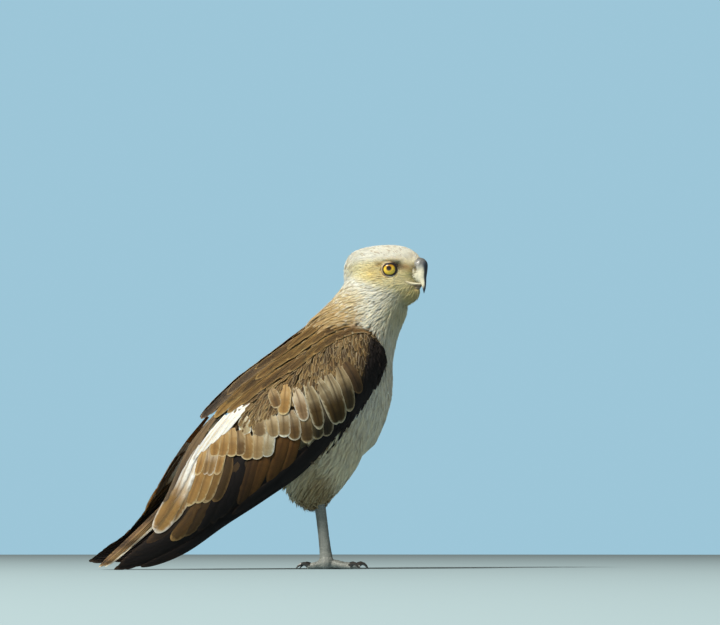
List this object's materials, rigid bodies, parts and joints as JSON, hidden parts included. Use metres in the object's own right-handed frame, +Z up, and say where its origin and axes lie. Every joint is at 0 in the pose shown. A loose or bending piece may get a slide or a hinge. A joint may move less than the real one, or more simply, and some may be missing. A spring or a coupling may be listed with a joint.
{
  "type": "short-toed snake eagle",
  "caption": "Life-size short-toed snake eagle standing at rest, wings folded, head turned to its right",
  "frame": {"origin": "on the floor, under the middle of the bird's bounding box", "axes": "+X from the tail to the breast, +Y to the bird's left and across its narrowest size, +Z up"},
  "size_m": [0.4378, 0.1848, 0.438],
  "materials": {
    "white_feathers": "soft feathers with tan streaks",
    "brown_feathers": "soft layered feathers",
    "dark_feathers": "smooth flight feathers with a slight sheen",
    "bill_horn": "satin horn",
    "claw_horn": "satin horn",
    "leg_scales": "small dry scales",
    "eye": "wet gloss"
  },
  "bodies": {
    "root": {"head": "white_feathers", "bill_upper": "bill_horn", "bill_lower": "bill_horn", "eye_left": "eye", "eye_right": "eye", "neck": "white_feathers", "trunk": "white_feathers", "tail": "brown_feathers", "wing_left_arm": "brown_feathers", "wing_left_secondaries": "brown_feathers", "wing_left_primaries": "dark_feathers", "wing_right_arm": "brown_feathers", "wing_right_secondaries": "brown_feathers", "wing_right_primaries": "dark_feathers", "thigh_left": "white_feathers", "thigh_right": "white_feathers", "tarsus_left": "leg_scales", "tarsus_right": "leg_scales", "foot_left": "leg_scales", "foot_right": "leg_scales", "claw_left_inner": "claw_horn", "claw_left_middle": "claw_horn", "claw_left_outer": "claw_horn", "claw_left_hind": "claw_horn", "claw_right_inner": "claw_horn", "claw_right_middle": "claw_horn", "claw_right_outer": "claw_horn", "claw_right_hind": "claw_horn"}
  },
  "joints": []
}
